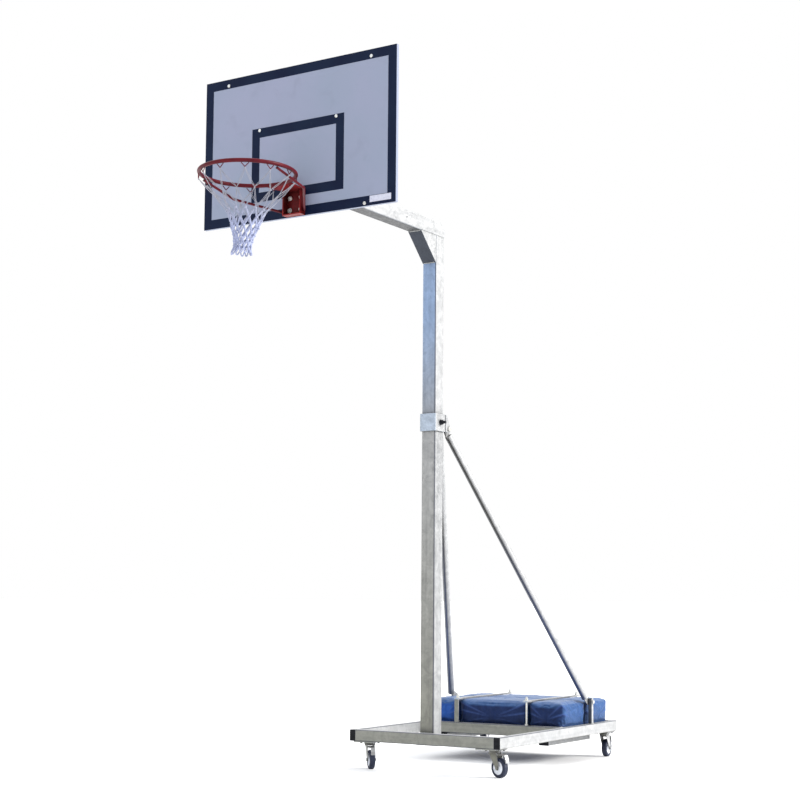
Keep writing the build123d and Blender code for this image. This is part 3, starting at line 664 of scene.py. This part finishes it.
class Shape:
    """Collects tubes and turns them into one smooth mesh with lengthwise coordinates."""

    def __init__(self):
        self.points = []
        self.faces = []
        self.corners = []

    def tube(self, path, radii, sides=8):
        """Round tube with closed ends along a path, with a radius for each point."""
        first = len(self.points)
        count = len(path)
        side = None
        travelled = 0.0
        lengths = []
        for index in range(count):
            ahead = path[min(index + 1, count - 1)] - path[max(index - 1, 0)]
            ahead.normalize()
            if side is None:
                side = ahead.orthogonal().normalized()
            side = (side - ahead * side.dot(ahead)).normalized()
            across = ahead.cross(side)
            if index:
                travelled += (path[index] - path[index - 1]).length
            lengths.append(travelled)
            for step in range(sides):
                turn = 2 * pi * step / sides
                self.points.append(path[index] + radii[index] * (side * cos(turn) + across * sin(turn)))
        for index in range(count - 1):
            for step in range(sides):
                following = (step + 1) % sides
                low = first + index * sides
                high = low + sides
                self.faces.append((low + step, low + following, high + following, high + step))
                near = step / sides
                far = (step + 1) / sides
                start, end = lengths[index], lengths[index + 1]
                self.corners += [(near, start), (far, start), (far, end), (near, end)]
        for ring, reverse in ((first, True), (first + (count - 1) * sides, False)):
            cap = list(range(ring, ring + sides))
            self.faces.append(tuple(reversed(cap)) if reverse else tuple(cap))
            self.corners += [(0.0, 0.0)] * sides

    def mesh(self, name):
        """The collected faces as a smooth mesh, with its lengthwise coordinates."""
        result = bpy.data.meshes.new(name)
        result.from_pydata(self.points, [], self.faces)
        layer = result.uv_layers.new(name="along")
        for index, corner in enumerate(self.corners):
            layer.data[index].uv = corner
        result.shade_smooth()
        return result


def new_piece(name, mesh, body, material):
    """Puts a mesh into the scene as a piece that moves with a body."""
    piece = bpy.data.objects.new(name, mesh)
    bpy.context.scene.collection.objects.link(piece)
    piece.data.materials.clear()
    piece.data.materials.append(material)
    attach(piece, body)
    return piece


def smooth_path(points, steps):
    """Points of a Catmull-Rom curve through the given points."""
    padded = [points[0]] + list(points) + [points[-1]]
    path = []
    for index in range(1, len(padded) - 2):
        before, start, end, after = padded[index - 1:index + 3]
        for step in range(steps):
            t = step / steps
            path.append(
                0.5 * (2 * start + (end - before) * t
                       + (2 * before - 5 * start + 4 * end - after) * t ** 2
                       + (3 * start - before - 3 * end + after) * t ** 3)
            )
    path.append(points[-1].copy())
    return path


# ---------------------------------------------------------------- net

def net_point(angle, radius, drop, centre):
    """Point of the net, swayed sideways towards its foot."""
    turn = radians(angle)
    sway = NET_SWAY * max(0.0, (-drop - NET_SWAY_START) / NET_SWAY_RUN) ** 1.5
    way_x, way_y = NET_SWAY_WAY
    return centre + Vector((radius * cos(turn) + way_x * sway, radius * sin(turn) + way_y * sway, drop))


def net_strand(shape, start_angle, way, centre):
    """One doubled cord that spirals from a hook towards the hem, thin in the upper rows."""
    half_pitch = 180.0 / NET_STRANDS
    knots = []
    for row, (radius, drop) in enumerate(NET_ROWS):
        wander = Vector([chance.uniform(-0.002, 0.002) for _ in range(3)])
        if row == 0:
            wander = Vector((0.0, 0.0, 0.0))
        knots.append(net_point(start_angle + way * half_pitch * row, radius, drop, centre) + wander)
    for twin in (-1, 1):
        points = []
        for row in range(len(knots) - 1):
            start, end = knots[row], knots[row + 1]
            across = (end - start).cross(Vector((centre.x, centre.y, start.z)) - start).normalized()
            gap = NET_THIN_GAP if row < NET_THIN_ROWS else NET_THICK_GAP
            slack = Vector((0.0, 0.0, NET_THIN_SAG if row < NET_THIN_ROWS else NET_THICK_SAG))
            points.append(start)
            for part in (0.3, 0.7):
                loose = Vector([chance.uniform(-0.0012, 0.0012) for _ in range(3)])
                points.append(start.lerp(end, part) + twin * gap * across + slack + loose)
        points.append(knots[-1])
        path = smooth_path(points, 3)
        change = centre.z + NET_ROWS[NET_THIN_ROWS][1]
        radii = [NET_THIN_CORD if point.z > change else NET_THICK_CORD for point in path]
        shape.tube(path, radii, 6)


def net_knot(shape, middle, size):
    """A pulled knot: a short fat twist of cord."""
    lean = Vector([chance.uniform(-1.0, 1.0) for _ in range(3)]).normalized() * size * 0.35
    up = Vector((0.0, 0.0, size))
    path = [middle + up, middle + 0.5 * up + lean, middle, middle - 0.5 * up - lean, middle - up]
    shape.tube(path, [0.35 * size, 0.8 * size, 0.95 * size, 0.8 * size, 0.35 * size], 8)


def net_hem(shape, start, end, angle, centre):
    """Loose loop of doubled cord between two knots of the last row."""
    radius, drop = NET_HEM
    radius += chance.uniform(-0.005, 0.006)
    drop += chance.uniform(-0.010, 0.003)
    low = net_point(angle, radius, drop, centre)
    spread_out = (end - start) * 0.18
    points = [start, (start + low) / 2 - spread_out, low - spread_out]
    points += [low + spread_out, (end + low) / 2 + spread_out, end]
    path = smooth_path(points, 4)
    shape.tube(path, [NET_HEM_CORD] * len(path), 6)


def make_net():
    """The knotted net, from its twelve hooks to its hem."""
    low, high = (Vector(corner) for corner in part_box("ring"))
    centre = (low + high) / 2
    shape = Shape()
    pitch = 360.0 / NET_STRANDS
    for strand in range(NET_STRANDS):
        angle = NET_START_ANGLE + pitch * strand
        for way in (-1, 1):
            net_strand(shape, angle, way, centre)
        for row, (radius, drop) in enumerate(NET_ROWS):
            middle = net_point(angle + 0.5 * pitch * row, radius, drop, centre)
            net_knot(shape, middle, NET_SMALL_KNOT if row < NET_THIN_ROWS else NET_LARGE_KNOT)
        last = len(NET_ROWS) - 1
        radius, drop = NET_ROWS[last]
        turn = angle + 0.5 * pitch * last
        start = net_point(turn, radius, drop, centre)
        end = net_point(turn + pitch, radius, drop, centre)
        net_hem(shape, start, end, turn + 0.5 * pitch, centre)
    piece = new_piece("knotted_net", shape.mesh("knotted_net"), "head", net_fibre)
    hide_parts("net")


# ---------------------------------------------------------------- ballast

def block_names():
    return sorted(name for name in nodes if name.startswith("ballast_"))


def block_bounds():
    """Lowest and highest corner of all the blocks together."""
    corners = [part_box(name) for name in block_names()]
    lowest = [min(corner[0][axis] for corner in corners) for axis in range(3)]
    highest = [max(corner[1][axis] for corner in corners) for axis in range(3)]
    return lowest, highest


def rounded_box(low, high, radius):
    """Closed box with rounded edges."""
    work = bmesh.new()
    bmesh.ops.create_cube(work, size=1.0)
    size = high - low
    middle = (low + high) / 2
    for vertex in work.verts:
        vertex.co = Vector([vertex.co[axis] * size[axis] + middle[axis] for axis in range(3)])
    bmesh.ops.bevel(work, geom=work.edges[:], offset=radius, segments=4, profile=0.5, affect="EDGES")
    mesh = bpy.data.meshes.new("block")
    work.to_mesh(mesh)
    work.free()
    return mesh


def evaluated_mesh(piece):
    """A copy of a piece's mesh with its modifiers applied."""
    graph = bpy.context.evaluated_depsgraph_get()
    return bpy.data.meshes.new_from_object(piece.evaluated_get(graph))


def apply_modifiers(piece):
    """Bakes the modifiers of a piece into its mesh."""
    mesh = evaluated_mesh(piece)
    piece.modifiers.clear()
    piece.data = mesh


def dome_limit(x, bars, top):
    """Highest a block may swell at an x, lower where a hold-down bar presses on it."""
    gap = min(max(0.0, bar_low - x, x - bar_high) for bar_low, bar_high in bars)
    share = min(1.0, gap / BAR_REACH)
    ease = share * share * (3 - 2 * share)
    return top + BLOCK_DOME * ease


def crease(across, up, half_width, half_height, slope):
    """Strength, up to about half, of a soft fold that runs from a face's middle towards its edges."""
    run = across / half_width
    steepness = slope * half_height / half_width
    off_line = abs(up - steepness * across) / (1 + steepness ** 2) ** 0.5
    along = min(1.0, abs(run))
    return along * (1 - 0.45 * along) * max(0.0, 1 - off_line / FOLD_HALF_WIDTH) ** 2


def fold_cover(piece, low, high, seed):
    """Adds a crown, folds that run out from each face's middle, a seam and small wrinkles."""
    half = (high - low) / 2
    middle = (low + high) / 2
    # The fold strength stored here gives the vinyl its painted highlight along the fold ridges.
    wear_and_fold_highlight = piece.data.attributes.new("fold", "FLOAT", "POINT")
    for vertex in piece.data.vertices:
        spot = vertex.co - middle
        normal = vertex.normal
        lift = 0.0022 * noise.noise(vertex.co * 14.0 + Vector((seed, 0.0, 0.0)))
        lift += 0.0010 * noise.noise(vertex.co * 45.0 + Vector((0.0, seed, 0.0)))
        if abs(normal.y) > 0.6:
            face = (spot.x, spot.z, half.x, half.z)
        elif abs(normal.x) > 0.6:
            face = (spot.y, spot.z, half.y, half.z)
        else:
            face = (spot.x, spot.y, half.x, half.y)
            crown = (1 - (spot.x / half.x) ** 2) * (1 - (spot.y / half.y) ** 2)
            lift += BLOCK_CROWN * max(0.0, crown) * max(0.0, normal.z)
        slopes = (0.92 + 0.05 * sin(seed), -0.84 - 0.05 * sin(seed), 0.36, -0.40)
        ridge = max(crease(*face, slope) for slope in slopes)
        wear_and_fold_highlight.data[vertex.index].value = ridge
        lift += FOLD_HEIGHT * ridge
        if abs(normal.x) < 0.6 and abs(spot.x + 0.02 * half.x) < SEAM_HALF_WIDTH:
            lift += SEAM_HEIGHT
        vertex.co += normal * lift


def side_room(z, rail_top):
    """How far a block may bulge out over a rail at a height."""
    share = min(1.0, max(0.0, (z - rail_top - 0.006) / 0.03))
    return BLOCK_OVERHANG * share


def limit_swell(piece, rest):
    """Caps how far the cover has moved from its starting form."""
    for vertex, start in zip(piece.data.vertices, rest):
        move = vertex.co - start
        if move.length > BLOCK_SWELL:
            vertex.co = start + move.normalized() * BLOCK_SWELL


def keep_in_place(piece, low, high, bars, rail_top):
    """Keeps the cover off its neighbours, the rails and the bars."""
    lowest, highest = block_bounds()
    for vertex in piece.data.vertices:
        room = side_room(vertex.co.z, rail_top)
        for axis in (0, 1):
            least = low[axis] + BLOCK_GAP - (room if low[axis] <= lowest[axis] else 0.0)
            most = high[axis] - BLOCK_GAP + (room if high[axis] >= highest[axis] else 0.0)
            vertex.co[axis] = min(max(vertex.co[axis], least), most)
        ceiling = dome_limit(vertex.co.x, bars, high.z + BAR_CLEARANCE)
        vertex.co.z = min(max(vertex.co.z, low.z + BLOCK_GAP), ceiling)


def start_block(name):
    """Slightly undersized closed form of a block, remeshed evenly and ready to swell."""
    low, high = (Vector(corner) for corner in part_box(name))
    inset = Vector((BLOCK_INSET, BLOCK_INSET, 0.002))
    drop = Vector((BLOCK_INSET, BLOCK_INSET, BLOCK_TOP_DROP))
    mesh = rounded_box(low + inset, high - drop, BLOCK_EDGE)
    piece = new_piece(f"{name}_cover", mesh, "base", vinyl_shaded_front)
    remesh = piece.modifiers.new("even", "REMESH")
    remesh.mode = "VOXEL"
    remesh.voxel_size = BLOCK_VOXEL
    remesh.use_smooth_shade = True
    apply_modifiers(piece)
    return piece, low, high


def swell(pieces):
    """Inflates the blocks together with one short cloth simulation."""
    scene = bpy.context.scene
    for piece in pieces:
        cloth = piece.modifiers.new("swell", "CLOTH")
        cloth.settings.quality = 5
        cloth.settings.mass = 0.4
        cloth.settings.tension_stiffness = CLOTH_STIFFNESS
        cloth.settings.compression_stiffness = CLOTH_STIFFNESS
        cloth.settings.bending_stiffness = 2.0
        cloth.settings.use_pressure = True
        cloth.settings.uniform_pressure_force = CLOTH_PRESSURE
        cloth.settings.effector_weights.gravity = 0.0
    for step in range(1, CLOTH_FRAMES + 1):
        scene.frame_set(step)
    for piece in pieces:
        apply_modifiers(piece)
    scene.frame_set(1)


def hold_down_bars():
    """X extents of the two hold-down bars that press on the blocks."""
    low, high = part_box("hold_down_bars")
    return (low[0], low[0] + BAR_WIDTH), (high[0] - BAR_WIDTH, high[0])


def make_ballast():
    """Vinyl covers in place of the plain ballast blocks."""
    bars = hold_down_bars()
    rail_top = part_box("side_rails")[1][2]
    started = [start_block(name) for name in block_names()]
    rests = [[vertex.co.copy() for vertex in piece.data.vertices] for piece, low, high in started]
    swell([piece for piece, low, high in started])
    for seed, ((piece, low, high), rest, name) in enumerate(zip(started, rests, block_names())):
        limit_swell(piece, rest)
        fold_cover(piece, low, high, 0.7 * seed)
        keep_in_place(piece, low, high, bars, rail_top)
        finer = piece.modifiers.new("finer", "SUBSURF")
        finer.levels = 1
        finer.render_levels = 1
        piece.data.shade_smooth()
        piece.data.materials.clear()
        piece.data.materials.append(vinyl_lit_front if name.endswith("_left") else vinyl_shaded_front)
        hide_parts(name)


# ---------------------------------------------------------------- welds

def weld_bead(shape, start, end, radius, seed):
    """A rippled bead of weld metal between two points."""
    start = Vector(start)
    end = Vector(end)
    length = (end - start).length
    count = max(8, int(length / 0.0016))
    path = []
    radii = []
    for index in range(count + 1):
        share = index / count
        point = start.lerp(end, share)
        wobble = noise.noise(point * 60.0 + Vector((seed, 0.0, 0.0))) * 0.0006
        path.append(point + Vector((wobble, wobble, -wobble)))
        ripple = 0.12 * sin(2 * pi * share * length / 0.0055)
        taper = min(1.0, 0.45 + 12.0 * min(share, 1 - share))
        radii.append(radius * taper * (1 + ripple))
    shape.tube(path, radii, 8)


def add_welds(name, body, lines, radius):
    """One piece of weld beads along several lines."""
    shape = Shape()
    for seed, (start, end) in enumerate(lines):
        weld_bead(shape, start, end, radius, seed * 1.7)
    new_piece(name, shape.mesh(name), body, weld)


def rectangle_lines(low, high, z):
    """The four sides of a level rectangle."""
    corners = [(low[0], low[1], z), (high[0], low[1], z), (high[0], high[1], z), (low[0], high[1], z)]
    return [(corners[index], corners[(index + 1) % 4]) for index in range(4)]


def make_frame_welds():
    """Beads where the cross rails meet the side rails and where the mast stands."""
    rails_low, rails_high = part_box("cross_rails")
    mast_near, mast_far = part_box("mast_lower")
    top = rails_high[2]
    mid_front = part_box("runners")[0][1] - 0.003
    fronts = (rails_low[1], mid_front, rails_high[1] - RAIL_WIDTH)
    near, far = RAIL_WELD
    lines = []
    for side_x in (rails_low[0], rails_high[0]):
        for front in fronts:
            lines.append(((side_x, front + near, top - 0.001), (side_x, front + far, top - 0.001)))
            inner = front if front > fronts[0] else front + RAIL_WIDTH
            lines.append(((side_x, inner, top - 0.006), (side_x, inner, rails_low[2] + 0.006)))
    front = mast_near[1]
    left, right = mast_near[0] + 0.003, mast_far[0] - 0.003
    lines.append(((left, front, top - 0.001), (right, front, top - 0.001)))
    for x in (left, right):
        lines.append(((x, front - 0.001, top - 0.004), (x, front - 0.001, rails_low[2] + 0.004)))
    add_welds("frame_welds", "base", lines, FRAME_BEAD)


def make_post_welds():
    """Beads round the feet of the stay posts."""
    low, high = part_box("stay_posts")
    lines = []
    for left in (low[0], high[0] - POST_WIDTH):
        lines += rectangle_lines((left, low[1]), (left + POST_WIDTH, high[1]), low[2] + 0.0012)
    add_welds("post_welds", "base", lines, SMALL_BEAD)


def make_collar_welds():
    """Upright beads on the two cheek plates."""
    plates_low, plates_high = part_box("cheek_plates")
    lines = []
    y = plates_low[1] + 0.001
    for x in (plates_low[0] + 0.006, plates_high[0] - 0.006):
        lines.append(((x, y, plates_low[2] + 0.004), (x, y, plates_high[2] - 0.004)))
    add_welds("collar_welds", "base", lines, SMALL_BEAD)


def make_arm_welds():
    """Beads round the gusset, at the mast's top and at the plate behind the board."""
    gusset_low, gusset_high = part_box("arm_gusset")
    arm_low, arm_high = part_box("arm")
    mast_near, mast_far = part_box("mast_upper")
    top = gusset_high[2] - 0.001
    front = gusset_low[1] + 0.001
    back = gusset_high[1] - 0.001
    left, right = gusset_low[0] + 0.006, gusset_high[0] - 0.006
    lines = [((left, front, top), (right, front, top))]
    lines.append(((left, back, gusset_low[2] + 0.001), (right, back, gusset_low[2] + 0.001)))
    for x in (gusset_low[0] + 0.002, gusset_high[0] - 0.002):
        lines.append(((x, front + 0.005, top), (x, back - 0.005, top)))
        lines.append(((x, back, gusset_low[2] + 0.006), (x, back, top - 0.005)))
        lines.append(((x, mast_near[1] + 0.006, arm_low[2]), (x, mast_far[1] - 0.006, arm_low[2])))
    plate_back = arm_low[1] + 0.001
    for x in (arm_low[0], arm_high[0]):
        lines.append(((x, plate_back, arm_low[2] + 0.006), (x, plate_back, arm_high[2] - 0.006)))
    for z in (arm_low[2], arm_high[2]):
        lines.append(((arm_low[0] + 0.006, plate_back, z), (arm_high[0] - 0.006, plate_back, z)))
    add_welds("arm_welds", "head", lines, ARM_BEAD)


# ---------------------------------------------------------------- studio

def make_floor():
    mesh = bpy.data.meshes.new("studio_floor")
    corners = [(x * FLOOR_REACH, y * FLOOR_REACH, 0) for x, y in ((-1, -1), (1, -1), (1, 1), (-1, 1))]
    mesh.from_pydata(corners, [], [(0, 1, 2, 3)])
    floor = bpy.data.objects.new("studio_floor", mesh)
    bpy.context.scene.collection.objects.link(floor)
    mesh.materials.append(floor_paint())


def make_world():
    """White surroundings, brighter overhead and darker and bluer high up in front of the hoop."""
    world = bpy.data.worlds.new("studio")
    world.use_nodes = True
    bpy.context.scene.world = world
    tree = world.node_tree
    source = tree.nodes.new("ShaderNodeTexCoord")
    split = tree.nodes.new("ShaderNodeSeparateXYZ")
    tree.links.new(source.outputs["Generated"], split.inputs["Vector"])
    behind = spread(tree, split.outputs["Y"], -0.9, 0.5, 0.0, 1.0)
    horizon = spread(tree, split.outputs["Z"], 0.08, 0.28, 1.0, 0.0)
    sky = blend_colour(tree, combine(tree, "MAXIMUM", behind, horizon), (0.53, 0.55, 0.59), (1.0, 1.0, 1.0))
    overhead = spread(tree, split.outputs["Z"], 0.36, 0.9, 1.0, ZENITH)
    tree.links.new(sky, tree.nodes["Background"].inputs["Color"])
    tree.links.new(overhead, tree.nodes["Background"].inputs["Strength"])


def add_sun(name, direction, strength, softness, colour):
    light = bpy.data.lights.new(name, "SUN")
    light.energy = strength
    light.angle = radians(softness)
    light.color = colour
    lamp = bpy.data.objects.new(name, light)
    lamp.rotation_euler = Vector(direction).to_track_quat("Z", "Y").to_euler()
    bpy.context.scene.collection.objects.link(lamp)


def make_camera():
    camera = bpy.data.cameras.new("camera")
    camera.sensor_width = 36.0
    camera.lens = CAMERA_LENS
    camera.shift_x, camera.shift_y = CAMERA_SHIFT
    camera.clip_end = 300.0
    holder = bpy.data.objects.new("camera", camera)
    yaw = Matrix.Rotation(radians(CAMERA_YAW), 4, "Z")
    pitch = Matrix.Rotation(radians(90.0 + CAMERA_PITCH), 4, "X")
    roll = Matrix.Rotation(radians(CAMERA_ROLL), 4, "Z")
    holder.matrix_world = Matrix.Translation(CAMERA_PLACE) @ yaw @ pitch @ roll
    bpy.context.scene.collection.objects.link(holder)
    bpy.context.scene.camera = holder


bpy.context.scene.view_settings.view_transform = "Standard"
make_camera()
paint_nodes()
make_net()
make_ballast()
make_frame_welds()
make_post_welds()
make_collar_welds()
make_arm_welds()
make_floor()
make_world()
add_sun("key", SUN_DIRECTION, SUN_STRENGTH, SUN_SOFTNESS, (1.0, 0.98, 0.95))
add_sun("fill", FILL_DIRECTION, FILL_STRENGTH, 40.0, (0.85, 0.9, 1.0))
